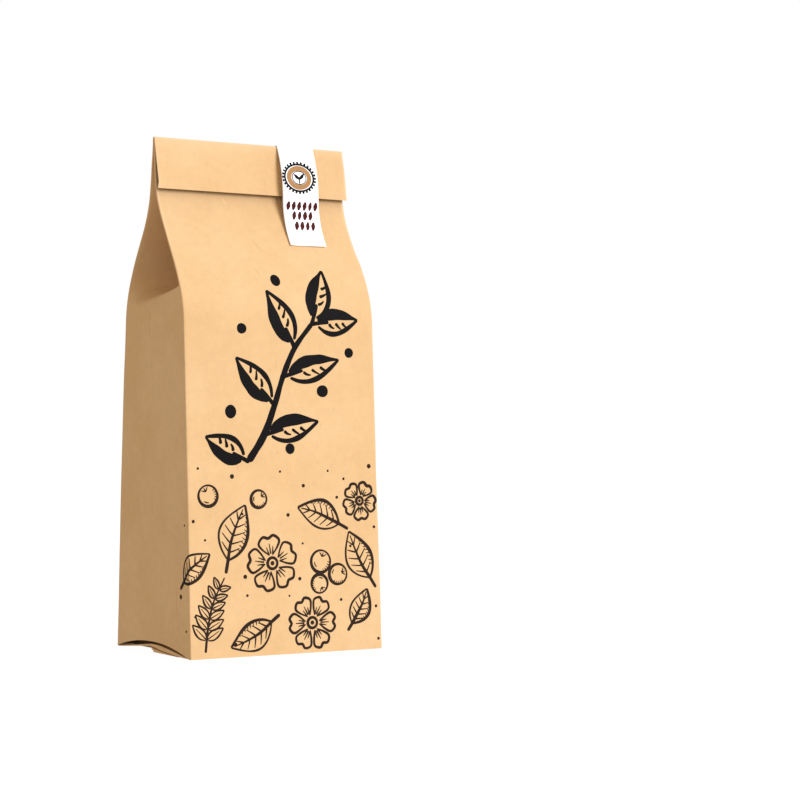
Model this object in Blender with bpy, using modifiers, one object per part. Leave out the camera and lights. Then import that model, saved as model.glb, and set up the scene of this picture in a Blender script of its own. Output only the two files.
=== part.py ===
"""A filled kraft paper bag with gusseted sides.

Its top is folded over the front, and a paper strip lies over the fold. Metres, +Z up.
The front panel faces -Y, and the origin is on the ground under the middle of the bag.
"""

import math

import bmesh
import bpy
from mathutils import Vector

# The bag as it stands
PANEL_WIDTH = 0.106
BASE_DEPTH = 0.080
BAG_HEIGHT = 0.250
TAPER = 0.0544
SHOULDER_START = 0.1615
SHOULDER_END = 0.2363
BUNDLE_HALF = 0.0026
BUNDLE_TOP_HALF = 0.00045
BUNDLE_SPREAD = 0.09
BUNDLE_LEAN = 0.00045
LEAN_START = 0.200
LEAN_SPAN = 0.030
EDGE_DRAW_IN = 0.00043
DRAW_IN_START = 0.010
DRAW_IN_SPAN = 0.070
NECK_START = 0.205
NECK_SPAN = 0.023
BELLY = 0.0012

# The gusset folded into each side above the filling
GUSSET_START = 0.168
GUSSET_EDGE_RISE = 0.0065
GUSSET_GROWTH = 0.042
GUSSET_TOP_HALF = 0.0385
GUSSET_ROUNDING = 1.7
SLANT_START = 0.125
SLANT_END = 0.230
SLANT_SPAN = 0.045
PAPER_EDGE = 0.00045
PAPER_SHARE = 0.45

# The flap folded down over the front
FOLD_RADIUS = 0.0009
FLAP_THICKNESS = 0.0010
FLAP_DROP = 0.0253
FLAP_STAND_OFF = 0.0049
FLAP_OVERLAP = 0.0012
FLAP_INNER_SHARE = 0.8
FLAP_BACK_SHARE = 0.6

# The folded layers under each side
HEM_ARCH = 0.0054
HEM_FRONT_REACH = 0.0385
HEM_BACK_REACH = 0.0395
HEM_BACK_POWER = 2.5
HEM_GAP = 0.0013
HEM_DEPTH = 0.0040
LAYER_LIFT = 0.0030
LAYER_STEP_Y = 0.0040
LAYER_STEP_SLANT = 0.0036
LAYER_DEPTH = 0.0080
LAYER_BACK_REACH = 0.0345
GAP_CORNER = 0.0020

# The paper strip over the fold
STRIP_WIDTH = 0.0200
STRIP_CENTRE_X = 0.0252
STRIP_THICKNESS = 0.0003
STRIP_GAP = 0.0003
STRIP_BACK_END = 0.2220
STRIP_LEAVE_ANGLE = 2.67
STRIP_BULGE_OUT = 0.0073
STRIP_BULGE_HEIGHT = 0.2235
STRIP_FRONT_END = 0.1993

# How finely the curves are divided
PANEL_STEPS = 10
GUSSET_STEPS = 4
BODY_STEP = 0.0110
SHOULDER_STEP = 0.0042
FOLD_STEP = 0.0004
FOLD_LEVELS = 5
OUTLINE_STEPS = 12
CUT_CLEARANCE = 0.001
SLOPE_STEP = 0.001
WELD = 1e-6


def smooth(t):
    t = min(max(t, 0.0), 1.0)
    return t * t * (3.0 - 2.0 * t)


def mix(a, b, t):
    return a + (b - a) * t


def fold_height():
    return BAG_HEIGHT - FOLD_RADIUS


def half_depth(z):
    """Half the bag's depth: a slow taper, then a cosine fall to the flat bundle of folded paper."""
    core = BASE_DEPTH / 2 - TAPER * z
    fall = min(max((z - SHOULDER_START) / (SHOULDER_END - SHOULDER_START), 0.0), 1.0)
    core *= 0.5 + 0.5 * math.cos(math.pi * fall)
    bundle = min(BUNDLE_TOP_HALF + BUNDLE_SPREAD * (fold_height() - z), BUNDLE_HALF)
    return math.hypot(core, bundle)


def lean(z):
    """The bundle leans back a little, which leaves room for the flap in front of it."""
    return BUNDLE_LEAN * smooth((z - LEAN_START) / LEAN_SPAN)


def half_width(z):
    """Half the bag's width. The upright edges draw in a little between the base and the neck."""
    drawn = smooth((z - DRAW_IN_START) / DRAW_IN_SPAN) - smooth((z - NECK_START) / NECK_SPAN)
    return PANEL_WIDTH / 2 - EDGE_DRAW_IN * drawn


def belly(z):
    """How far the middle of the front and back panels swells."""
    return BELLY * math.sin(math.pi * min(z / SHOULDER_END, 1.0)) ** 2


def valley_depth(z):
    """How far the middle crease of a gusset is folded in."""
    rise = max(z - GUSSET_START, 0.0)
    start_half = half_depth(GUSSET_START)
    reach = mix(start_half, GUSSET_TOP_HALF, min(rise / GUSSET_GROWTH, 1.0))
    return math.sqrt(max(reach**2 - half_depth(max(z, GUSSET_START)) ** 2, 0.0))


def panel_points(z, side):
    """The front (side -1) or back (side 1) panel at height z, from -X to +X."""
    points = []
    for step in range(PANEL_STEPS + 1):
        across = mix(-1.0, 1.0, step / PANEL_STEPS)
        swell = belly(z) * (1.0 - across**2)
        points.append((across * half_width(z), lean(z) + side * (half_depth(z) + swell), z))
    return points


def fold_slant(level, along):
    """How far a gusset's points sag at its middle, so that its fold starts along one outline."""
    near = smooth((level - SLANT_START) / SLANT_SPAN) * smooth((SLANT_END - level) / SLANT_SPAN)
    return GUSSET_EDGE_RISE * (1.0 - abs(along)) * near


def gusset_points(level, side):
    """The gusset on the -X (side -1) or +X (side 1) edge at a level, from front to back."""
    points = []
    for step in range(2 * GUSSET_STEPS + 1):
        along = step / GUSSET_STEPS - 1.0
        z = level - fold_slant(level, along)
        thickness = min(PAPER_EDGE, half_depth(z) * PAPER_SHARE)
        folded = 1.0 - abs(along) ** GUSSET_ROUNDING
        depth = valley_depth(z - GUSSET_EDGE_RISE * abs(along)) * folded
        y = lean(z) + along * (half_depth(z) - thickness)
        points.append((side * (half_width(z) - depth), y, z))
    return points


def ring(z):
    """The whole outline at height z, seen from above and running anticlockwise."""
    front = panel_points(z, -1)
    right = gusset_points(z, 1)
    back = panel_points(z, 1)[::-1]
    left = gusset_points(z, -1)[::-1]
    return front + right + back + left


def even_levels(start, end, most):
    """Heights from start up to just before end, evenly spaced and no further apart than most."""
    count = math.ceil((end - start) / most)
    return [mix(start, end, step / count) for step in range(count)]


def level_heights():
    """Even levels up to the shoulder, closer ones above it, closest where the gussets start to fold."""
    onset = GUSSET_START + GUSSET_EDGE_RISE
    heights = even_levels(0.0, SHOULDER_START, BODY_STEP)
    heights += even_levels(SHOULDER_START, onset, SHOULDER_STEP)
    heights += [onset + FOLD_STEP * step**2 for step in range(FOLD_LEVELS)]
    return heights + even_levels(heights[-1], fold_height(), SHOULDER_STEP)[1:] + [fold_height()]


def paper_material(name, colour, roughness):
    material = bpy.data.materials.new(name)
    material.use_nodes = True
    shader = material.node_tree.nodes["Principled BSDF"]
    shader.inputs["Base Color"].default_value = colour
    shader.inputs["Roughness"].default_value = roughness
    shader.inputs["Metallic"].default_value = 0.0
    return material


def add_object(name, mesh, collection):
    item = bpy.data.objects.new(name, mesh)
    collection.objects.link(item)
    return item


def make_body(collection):
    """A loft of the outlines, from the ground to the top fold."""
    shape = bmesh.new()
    rings = [[shape.verts.new(point) for point in ring(z)] for z in level_heights()]
    count = len(rings[0])
    for lower, upper in zip(rings, rings[1:]):
        for here in range(count):
            after = (here + 1) % count
            shape.faces.new((lower[here], lower[after], upper[after], upper[here]))
    shape.faces.new(rings[0][::-1])
    shape.faces.new(rings[-1])
    bmesh.ops.recalc_face_normals(shape, faces=shape.faces)
    mesh = bpy.data.meshes.new("bag")
    shape.to_mesh(mesh)
    shape.free()
    return add_object("bag", mesh, collection)


def extruded_outline(name, outline, x_start, x_end, collection):
    """A closed outline of (y, z) points, drawn out along X between two places."""
    curve = bpy.data.curves.new(name, "CURVE")
    curve.dimensions = "2D"
    curve.fill_mode = "BOTH"
    curve.extrude = (x_end - x_start) / 2
    spline = curve.splines.new("POLY")
    spline.points.add(len(outline) - 1)
    for point, (y, z) in zip(spline.points, outline):
        point.co = (y, z, 0.0, 1.0)
    spline.use_cyclic_u = True
    drawn = add_object(name + "_outline", curve, collection)
    drawn.rotation_euler = (math.pi / 2, 0.0, math.pi / 2)
    drawn.location = ((x_start + x_end) / 2, 0.0, 0.0)
    bpy.context.view_layer.update()
    graph = bpy.context.evaluated_depsgraph_get()
    mesh = bpy.data.meshes.new_from_object(drawn.evaluated_get(graph))
    welded = bmesh.new()
    welded.from_mesh(mesh)
    bmesh.ops.remove_doubles(welded, verts=welded.verts, dist=WELD)
    bmesh.ops.recalc_face_normals(welded, faces=welded.faces)
    welded.to_mesh(mesh)
    welded.free()
    solid = add_object(name, mesh, collection)
    solid.matrix_world = drawn.matrix_world
    bpy.data.objects.remove(drawn)
    return solid


def arc_points(radius, start, end, steps):
    """Points on an arc about the top fold's centre, by angles up from the +Y direction."""
    angles = [mix(start, end, step / steps) for step in range(steps + 1)]
    return [(radius * math.cos(a), fold_height() + radius * math.sin(a)) for a in angles]


def flap_outline():
    """The fold over the top and the flap below it, seen along X."""
    bottom = BAG_HEIGHT - FLAP_DROP
    outer = arc_points(FOLD_RADIUS, 0.0, math.pi, OUTLINE_STEPS)
    outer.append((-FLAP_STAND_OFF, bottom))
    inner_bottom = (-FLAP_STAND_OFF + FLAP_THICKNESS, bottom)
    overlap = fold_height() - FLAP_OVERLAP
    inner_top = (-FOLD_RADIUS + FLAP_THICKNESS * FLAP_INNER_SHARE, overlap)
    return outer + [inner_bottom, inner_top, (FOLD_RADIUS * FLAP_BACK_SHARE, overlap)]


def hem_height(y):
    """The arched lower edge of a side panel, rounder towards the rear corner."""
    if y < 0.0:
        return HEM_ARCH * max(1.0 - (y / HEM_FRONT_REACH) ** 2, 0.0)
    return HEM_ARCH * max(1.0 - (y / HEM_BACK_REACH) ** HEM_BACK_POWER, 0.0)


def hem_gap_outline():
    """The gap between a side panel's lower edge and the folded layers below it."""
    reach = HEM_FRONT_REACH - GAP_CORNER
    steps = 2 * OUTLINE_STEPS
    places = [mix(-reach, reach, step / steps) for step in range(steps + 1)]
    upper = [(y, hem_height(y)) for y in places]
    lower = [(y, hem_height(y) - HEM_GAP * (1.0 - (y / reach) ** 2)) for y in places[1:-1]]
    return upper + lower[::-1]


def layer_lift_outline():
    """The space under the rear folded layer, which lies on the front one as far as a slanted step."""
    places = [mix(LAYER_STEP_Y, LAYER_BACK_REACH, step / OUTLINE_STEPS) for step in range(OUTLINE_STEPS)]
    span = LAYER_BACK_REACH - LAYER_STEP_Y
    upper = [(y, LAYER_LIFT * (LAYER_BACK_REACH - y) / span) for y in places]
    foot = LAYER_STEP_Y - LAYER_STEP_SLANT
    return upper + [(LAYER_BACK_REACH, -CUT_CLEARANCE), (foot, -CUT_CLEARANCE), (foot, 0.0)]


def both_sides(name, outline, depth, collection):
    """A cutter for an outline that opens in both sides of the bag."""
    outside = PANEL_WIDTH / 2 + CUT_CLEARANCE
    cutter = extruded_outline(name, outline, outside - depth - CUT_CLEARANCE, outside, collection)
    mirror = cutter.modifiers.new("other_side", "MIRROR")
    mirror.use_axis = (False, False, True)
    mirror.merge_threshold = WELD
    centre = bpy.data.objects.new(name + "_centre", None)
    collection.objects.link(centre)
    centre.rotation_euler = (math.pi / 2, 0.0, math.pi / 2)
    mirror.mirror_object = centre
    cutter.hide_render = True
    cutter.display_type = "WIRE"
    return cutter


def apply_boolean(item, name, operation, other):
    boolean = item.modifiers.new(name, "BOOLEAN")
    boolean.operation = operation
    boolean.solver = "EXACT"
    boolean.object = other


def bend(start, leaving, end, arriving):
    """Points on a smooth curve between two places, from just after its start, with its headings there."""
    start, end = Vector(start), Vector(end)
    span = (end - start).length
    leave = Vector(leaving).normalized() * span
    arrive = Vector(arriving).normalized() * span
    points = []
    for step in range(1, OUTLINE_STEPS + 1):
        t = step / OUTLINE_STEPS
        point = start * (2 * t**3 - 3 * t**2 + 1) + leave * (t**3 - 2 * t**2 + t)
        point += end * (3 * t**2 - 2 * t**3) + arrive * (t**3 - t**2)
        points.append(tuple(point))
    return points


def strip_path():
    """The strip's middle line as (y, z): up the back, over the fold, and bulging forward to the front."""
    off = STRIP_GAP + STRIP_THICKNESS / 2
    path = []
    for step in range(OUTLINE_STEPS):
        z = mix(STRIP_BACK_END, fold_height(), step / OUTLINE_STEPS)
        path.append((lean(z) + half_depth(z) + off, z))
    path += arc_points(FOLD_RADIUS + off, 0.0, STRIP_LEAVE_ANGLE, OUTLINE_STEPS)
    heading = (-math.sin(STRIP_LEAVE_ANGLE), math.cos(STRIP_LEAVE_ANGLE))
    down = (0.0, -1.0)
    bulge = (-STRIP_BULGE_OUT, STRIP_BULGE_HEIGHT)
    foot = (front_face(STRIP_FRONT_END) - off, STRIP_FRONT_END)
    slope = front_face(STRIP_FRONT_END - SLOPE_STEP) - front_face(STRIP_FRONT_END)
    path += bend(path[-1], heading, bulge, down)
    return path + bend(bulge, down, foot, (slope, -SLOPE_STEP))


def front_face(z):
    """The front panel's place under the strip."""
    across = STRIP_CENTRE_X / half_width(z)
    return lean(z) - half_depth(z) - belly(z) * (1.0 - across**2)


def strip_outline():
    """The strip's middle line with its thickness to both sides."""
    path = strip_path()
    left, right = [], []
    for here, (y, z) in enumerate(path):
        before = path[max(here - 1, 0)]
        after = path[min(here + 1, len(path) - 1)]
        along_y = after[0] - before[0]
        along_z = after[1] - before[1]
        length = math.hypot(along_y, along_z)
        off_y = -along_z / length * STRIP_THICKNESS / 2
        off_z = along_y / length * STRIP_THICKNESS / 2
        left.append((y + off_y, z + off_z))
        right.append((y - off_y, z - off_z))
    return left + right[::-1]


def make_bag(collection, cutters):
    bag = make_body(collection)
    bag.data.materials.append(paper_material("kraft_paper", (0.74, 0.47, 0.24, 1.0), 0.85))
    half = half_width(fold_height())
    flap = extruded_outline("folded_flap", flap_outline(), -half, half, cutters)
    flap.hide_render = True
    flap.display_type = "WIRE"
    apply_boolean(bag, "fold_over", "UNION", flap)
    gap = both_sides("hem_gap", hem_gap_outline(), HEM_DEPTH, cutters)
    apply_boolean(bag, "hem", "DIFFERENCE", gap)
    lift = both_sides("layer_lift", layer_lift_outline(), LAYER_DEPTH, cutters)
    apply_boolean(bag, "layers", "DIFFERENCE", lift)
    return bag


def make_strip(collection):
    start = STRIP_CENTRE_X - STRIP_WIDTH / 2
    strip = extruded_outline("label", strip_outline(), start, start + STRIP_WIDTH, collection)
    strip.data.materials.append(paper_material("white_paper", (0.92, 0.92, 0.90, 1.0), 0.6))
    return strip


def main():
    for item in list(bpy.data.objects):
        bpy.data.objects.remove(item)
    parts = bpy.data.collections.new("kraft_paper_bag")
    cutters = bpy.data.collections.new("cutters")
    bpy.context.scene.collection.children.link(parts)
    bpy.context.scene.collection.children.link(cutters)
    make_bag(parts, cutters)
    make_strip(parts)


main()
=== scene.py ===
"""The looks of a kraft paper bag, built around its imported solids.

Everything is in metres in the solids' own frame: +Z up, the front panel facing -Y, the ground at z = 0.
"""

import math
import random

import bpy
import numpy as np
from mathutils import Matrix, Vector, noise
from mathutils.bvhtree import BVHTree


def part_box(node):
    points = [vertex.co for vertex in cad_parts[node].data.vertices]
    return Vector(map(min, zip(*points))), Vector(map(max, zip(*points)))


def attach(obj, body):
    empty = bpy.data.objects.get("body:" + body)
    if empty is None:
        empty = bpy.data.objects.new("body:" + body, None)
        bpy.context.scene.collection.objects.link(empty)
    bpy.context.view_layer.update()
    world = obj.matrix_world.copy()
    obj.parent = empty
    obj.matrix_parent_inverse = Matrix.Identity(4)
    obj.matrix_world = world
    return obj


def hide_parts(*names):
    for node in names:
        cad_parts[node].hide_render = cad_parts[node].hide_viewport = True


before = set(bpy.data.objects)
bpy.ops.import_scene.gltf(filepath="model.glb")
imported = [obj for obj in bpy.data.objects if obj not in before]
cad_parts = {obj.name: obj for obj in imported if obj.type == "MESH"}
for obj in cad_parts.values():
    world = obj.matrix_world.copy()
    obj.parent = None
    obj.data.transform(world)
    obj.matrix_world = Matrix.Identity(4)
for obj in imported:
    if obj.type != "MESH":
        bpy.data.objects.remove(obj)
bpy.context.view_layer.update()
BAG_LOW, BAG_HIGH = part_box("bag")
STRIP_LOW, STRIP_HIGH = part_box("label")

# The bag's form, as the solids have it: a RAMP is a start and a span, and pairs run from front to rear
PANEL_WIDTH = BAG_HIGH.x - BAG_LOW.x
BAG_HEIGHT = BAG_HIGH.z
BASE_DEPTH = 0.080
TAPER = 0.0544
SHOULDER_START = 0.1615
SHOULDER_END = 0.2363
BUNDLE_HALF = 0.0029
BUNDLE_TOP_HALF = 0.0008
BUNDLE_SPREAD = 0.09
BUNDLE_LEAN = 0.0008
BUNDLE_TOP_LEAN = 0.0003
LEAN_RAMP = (0.200, 0.030)
UPRIGHT_RAMP = (0.234, 0.013)
EDGE_DRAW_IN = 0.00043
DRAW_IN_RAMP = (0.010, 0.070)
NECK_RAMP = (0.205, 0.023)
BELLY = 0.0012
REAR_SWELL = ((0.0, 0.0), (0.092, 0.0018), (0.165, 0.0009), (0.194, 0.0021), (0.231, 0.0))
GUSSET_START = 0.1678
GUSSET_FRONT_RISE = 0.0083
GUSSET_LOW_PLACE = 0.5
GUSSET_GROWTH = 0.012
GUSSET_TOP_HALF = 0.0385
GUSSET_ROUNDING = (3.0, 1.7)
GUSSET_NECK_DEPTH = 0.0030
GUSSET_NECK_RAMP = (0.202, 0.022)
SLANT_RAMP = (0.125, 0.045)
SLANT_END_RAMP = (0.190, 0.045)
ONSET_SPAN = (0.0030, 0.0170)
FOLD_RADIUS = 0.0009
FLAP_THICKNESS = 0.0005
FLAP_LEFT_NARROWING = 0.0008
FLAP_CORNER_FLARE = 0.0007
FLAP_CORNER_RAMP = (0.86, 0.14)
FLAP_RIGHT_FLARE = 0.0004
FLARE_POWER = 8
NECK_RIGHT_DRAW_IN = 0.00055
NECK_RIGHT_RAMP = (0.190, 0.008)
NECK_RIGHT_END_RAMP = (0.228, 0.010)
TOP_SLOPE = 0.0088
SLOPE_RAMP = (0.185, 0.040)
FLAP_DROP = 0.0253
FLAP_STAND_OFF = 0.0049
HEM_ARCH = 0.0054
HEM_FRONT = (0.0385, 2)
HEM_BACK = (0.0415, 2.2)
STRIP_LEAVE_ANGLE = 2.67
STRIP_BULGE_OUT = 0.0073
STRIP_BULGE_HEIGHT = 0.2235
STRIP_FRONT_END = 0.1993
STRIP_BACK_END = 0.2220

# The finish of the paper
EDGE_RADIUS = 0.0006
CORNER_STEPS = 4
GRAIN_STEP = 0.0014
FOLD_CORE = 0.00006
FOLD_STEPS = 10
FLAP_STEPS = 24
FLAP_EDGE_SHARE = 0.2
FLAP_SLIT = 0.0030
HEM_RECESS = 0.0080
HEM_BLEND = 0.030
STRIP_CENTRE_X = 0.0250
STRIP_WIDTH = STRIP_HIGH.x - STRIP_LOW.x + 0.0005
STRIP_GAP = 0.00025
STRIP_THICKNESS = 0.00022
STRIP_WAVE = 0.00010
SLOPE_STEP = 0.001
STRIP_EDGE_CURL = 0.00022
STRIP_END_CURL = 0.00016

# The waves of the paper: height, how many to the metre, and where in the noise they are read
WAVES = (
    (0.00045, 24.0, (3.1, 0.0, 7.7)),
    (0.00022, 62.0, (0.0, 5.3, 1.9)),
    (0.00004, 190.0, (0.0, 0.0, 0.0)),
)
FOOT_RAMP = (0.001, 0.02)
WAVE_END_RAMP = (0.205, 0.02)

# Small folds on the front panel: start and end as (x, z), then width and height
FRONT_CREASES = (
    ((-0.0170, 0.2225), (-0.0120, 0.2150), 0.0016, 0.00035),
    ((-0.0010, 0.2020), (0.0040, 0.1950), 0.0014, -0.00030),
    ((-0.0300, 0.1900), (-0.0180, 0.1840), 0.0030, 0.00018),
)

# Painted shade: how much darker the paper's colour is made in the bag's hollows
FLAP_EDGE_SHADE = 0.30
FLAP_EDGE_REACH = 0.0028
FLAP_WIDE_SHADE = 0.09
FLAP_WIDE_REACH = 0.010
BEHIND_FLAP_SHADE = 0.39
BEHIND_FLAP_RISE = 0.30
BEHIND_FLAP_SPAN = 0.003
GUSSET_SHADE = 0.11
GUSSET_SHADE_HEIGHT = 0.190
GUSSET_SHADE_REACH = 0.012
UNDERSIDE_SHADE = 0.6

# How pale the folds are made, where worn and as painted highlight: along the top fold, at the edges and at
# the panels' rims
CREST_WEAR_AND_HIGHLIGHT = 0.8
CREST_PLACE = 0.80
CREST_SPAN = 0.25
EDGE_WEAR_AND_HIGHLIGHT = 0.1
FLAP_WEAR_AND_HIGHLIGHT = 0.55
RIM_WEAR_AND_HIGHLIGHT = 0.7
RIM_RAMP = (0.972, 0.020)
RIM_HEIGHT_RAMP = (0.185, 0.020)

# The panels by number
FRONT, BACK, SIDES, FLAP, UNDERSIDE = 0, 2, (1, 3), 4, 5

# The folded paper under the bag, as (y, z) read from front to back
UPPER_TOP = ((-0.0375, 0.0003), (-0.030, 0.0011), (-0.019, 0.0025), (-0.0074, 0.0038), (-0.0017, 0.0041),
             (0.004, 0.0040), (0.013, 0.0030), (0.027, 0.0015), (0.035, 0.0006), (0.0385, 0.0002))
UPPER_UNDER = ((-0.0375, 0.0001), (-0.030, 0.0002), (-0.021, 0.0007), (-0.0074, 0.0017), (-0.0005, 0.0027),
               (0.004, 0.0031), (0.013, 0.0022), (0.027, 0.0010), (0.035, 0.0003), (0.0385, 0.0001))
LOWER_TOP = ((-0.0260, 0.0001), (-0.021, 0.0003), (-0.0074, 0.0010), (-0.0005, 0.0018), (0.0038, 0.0024))
LOWER_END = ((0.0034, 0.0020), (0.0002, 0.0002), (-0.0260, 0.00004))
UPPER_INSET = 0.0004
LOWER_INSET = 0.0007
SLAB_BEVEL = 0.00012

# How the print lies on the paper, in metres
INK_LIFT = 0.00006
INK_SINK = 0.00005
LINE_LAYERS = 6
LINE_LAYER_LIFT = 0.000004
CREASE_LIFT = 0.00002
ROUND_EDGE = 0.0012
RAY_START = 0.2

# Printing is drawn in millimetres on the front, across from its middle and up from the ground
INK_STEP = 0.8
PRINT_FLOOR = 0.7
PRINT_RIGHT = 52.2
LINE_MESH = 1.2

# The fine motifs: the values that line_leaf, blossom and berry take, in their order
FINE_LEAVES = (
    ((-32, 46), 70, 28, 15.5, 0.05), ((30, 62), 160, 25, 13.5, -0.05), ((47, 35), 117, 26, 14.5, 0.04),
    ((-9, 16), 207, 25, 13.5, 0.06), ((36, 13), 62, 19, 11.0, -0.05), ((-59, 36), 38, 22, 12.0, 0.04),
)
BLOSSOMS = ((-8, 44, 13.5, 5, 100), (13.5, 14.5, 12.9, 6, 60), (42, 73, 9.5, 5, 60))
BERRIES = (
    (19, 44, 5.4, 70), (28.5, 37.5, 4.9, 20), (18, 33.2, 4.5, 300), (-42, 77, 5.0, 120), (-15, 75, 4.2, 40),
)

# Where the small dots between the motifs are
DOTS = (
    (-47, 90), (-29, 86), (-3, 88), (10, 81), (24, 88), (33, 84), (48, 90), (-24, 68), (1, 67), (29, 75),
    (50, 60), (-50, 65), (-44, 56), (-23, 38), (9, 53), (36, 51), (1, 28), (-22, 29), (50, 21), (-29, 6),
    (30, 25), (-50, 20), (-57, 13), (-62, 29), (-57, 63), (7, 36), (51, 5),
)

# The strip's badge, and its rows of leaves as height, shift to the right and count
BADGE_SHIFT = -0.4
BADGE_HEIGHT = 234.1
BADGE_RADII = (9.6, 8.0)
BADGE_LIFT = INK_LIFT * 1.6
BEADS = 28
BEAD_RADIUS = 0.60
BEAD_PLACE = 0.96
LEAF_ROWS = ((219.8, 0.9, 6), (214.9, 0.7, 4), (209.7, 1.4, 4))
LEAF_SPACING = 3.1
LEAF_HALF = (0.6, 2.2)

# The creases, drawn as painted highlight (paler) and painted shade (darker) lines: points as (across, up) in
# millimetres, and the width
CREASE_HIGHLIGHTS = (
    ([(-17.4, 222.6), (-16.2, 220.2), (-14.4, 217.8)], 0.75),
    ([(32.6, 203.0), (35.6, 205.6), (38.0, 209.0)], 0.5),
    ([(-29.0, 96.0), (-27.2, 91.4), (-26.2, 87.0)], 0.45),
    ([(5.0, 193.4), (6.2, 191.2), (7.0, 188.6)], 0.4),
    ([(-86.0, 168.0), (-87.6, 160.0), (-86.6, 151.0)], 0.9),
    ([(-95.0, 163.0), (-96.6, 157.0), (-96.0, 150.0)], 0.8),
    ([(-76.0, 61.0), (-77.0, 52.0), (-76.4, 44.0)], 0.6),
)
CREASE_SHADES = (
    ([(-16.6, 223.0), (-15.2, 220.0), (-13.2, 217.2)], 0.40),
    ([(-6.4, 202.0), (-4.4, 198.8), (-2.0, 195.2)], 0.65),
    ([(-28.2, 96.6), (-26.4, 92.0), (-25.4, 88.0)], 0.3),
    ([(-9.6, 187.0), (-8.8, 184.8), (-7.6, 183.0)], 0.35),
    ([(-88.6, 166.0), (-90.0, 159.0), (-89.0, 152.0)], 0.6),
    ([(-66.0, 34.0), (-66.8, 26.0), (-66.2, 17.0)], 0.5),
)

# The lapped seam down the back
SEAM_HALF = 0.0075
SEAM_LOW = 0.004
SEAM_HIGH = 0.2470
SEAM_ROWS = 150
SEAM_COLUMNS = 9
SEAM_LIFT = 0.00016
SEAM_SINK = 0.00010

# The camera, fitted to the photograph's edges of the bag
FOCAL_PIXELS = 2326.5
IMAGE_PIXELS = 800
SENSOR_MM = 36.0
CAMERA_AZIMUTH = math.radians(-32.235)
CAMERA_RISE = math.radians(0.255)
CAMERA_ROLL = math.radians(0.065)
CAMERA_DISTANCE = 1.1566
ORIGIN_PIXEL = (249.08, 646.91)

# The studio: a warm room and one broad lamp
ROOM_COLOUR = (0.626, 0.572, 0.510)
KEY_COLOUR = (0.892, 0.928, 1.0)
KEY_STRENGTH = 3.40
KEY_SPREAD = 34.0
KEY_HEADING = (-0.48, 0.80, -0.42)
FLOOR_CLEAR = 0.88
FLOOR_GLOW = (0.50, 0.53, 0.60)

FOLD_HEIGHT = BAG_HEIGHT - FOLD_RADIUS
ACROSS_STEPS = int(PANEL_WIDTH / GRAIN_STEP)
GUSSET_STEPS = int(BASE_DEPTH / GRAIN_STEP / 2) * 2


def smooth(t):
    t = np.clip(t, 0.0, 1.0)
    return t * t * (3.0 - 2.0 * t)


def ramp(value, start_and_span):
    """Rises smoothly from 0 at the start to 1 a span further on."""
    start, span = start_and_span
    return smooth((value - start) / span)


def mix(a, b, t):
    return a + (b - a) * t


def half_depth(z):
    core = BASE_DEPTH / 2 - TAPER * z
    fall = np.clip((z - SHOULDER_START) / (SHOULDER_END - SHOULDER_START), 0.0, 1.0)
    core = core * (0.5 + 0.5 * np.cos(np.pi * fall))
    bundle = np.minimum(BUNDLE_TOP_HALF + BUNDLE_SPREAD * (FOLD_HEIGHT - z), BUNDLE_HALF)
    return np.hypot(core, bundle)


def lean(z):
    back = (BUNDLE_LEAN - BUNDLE_TOP_LEAN) * ramp(z, UPRIGHT_RAMP)
    return BUNDLE_LEAN * ramp(z, LEAN_RAMP) - back


def half_width(z):
    drawn = ramp(z, DRAW_IN_RAMP) - ramp(z, NECK_RAMP)
    return PANEL_WIDTH / 2 - EDGE_DRAW_IN * drawn


def belly(z):
    return BELLY * np.sin(np.pi * np.minimum(z / SHOULDER_END, 1.0)) ** 2


def rear_swell(z):
    """How much fuller the back is than the front; each pair in the list is a height and the swell there."""
    swell = 0.0
    for (low, before), (high, after) in zip(REAR_SWELL, REAR_SWELL[1:]):
        swell = swell + (after - before) * smooth((z - low) / (high - low))
    return swell


def valley_depth(z):
    """How far a gusset's middle is folded in. The neck is pressed flat, so little of it opens there."""
    rise = np.maximum(z - GUSSET_START, 0.0)
    reach = mix(half_depth(GUSSET_START), GUSSET_TOP_HALF, np.minimum(rise / GUSSET_GROWTH, 1.0))
    depth = np.sqrt(np.maximum(reach**2 - half_depth(np.maximum(z, GUSSET_START)) ** 2, 0.0))
    return mix(depth, np.minimum(depth, GUSSET_NECK_DEPTH), ramp(z, GUSSET_NECK_RAMP))


def onset_rise(place):
    """How much higher than its lowest place a side panel starts to fold in, from -1 in front to 1 behind."""
    return GUSSET_FRONT_RISE * max(GUSSET_LOW_PLACE - place, 0.0) / (GUSSET_LOW_PLACE + 1.0)


def hem_height(y):
    """The arch of a side panel's lower edge, with its reach and power, which are larger behind."""
    reach, power = HEM_FRONT if y < 0 else HEM_BACK
    return HEM_ARCH * max(1.0 - (abs(y) / reach) ** power, 0.0)


def front_face(x, z):
    across = x / half_width(z)
    return lean(z) - half_depth(z) - belly(z) * (1.0 - across**2)


def place_object(name, data):
    item = bpy.data.objects.new(name, data)
    bpy.context.scene.collection.objects.link(item)
    return item


def new_object(name, vertices, faces, material, smooth_shading=True):
    mesh = bpy.data.meshes.new(name)
    mesh.from_pydata([tuple(v) for v in vertices], [], faces)
    mesh.validate()
    item = place_object(name, mesh)
    mesh.materials.append(material)
    if smooth_shading:
        mesh.shade_smooth()
    return item


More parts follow.
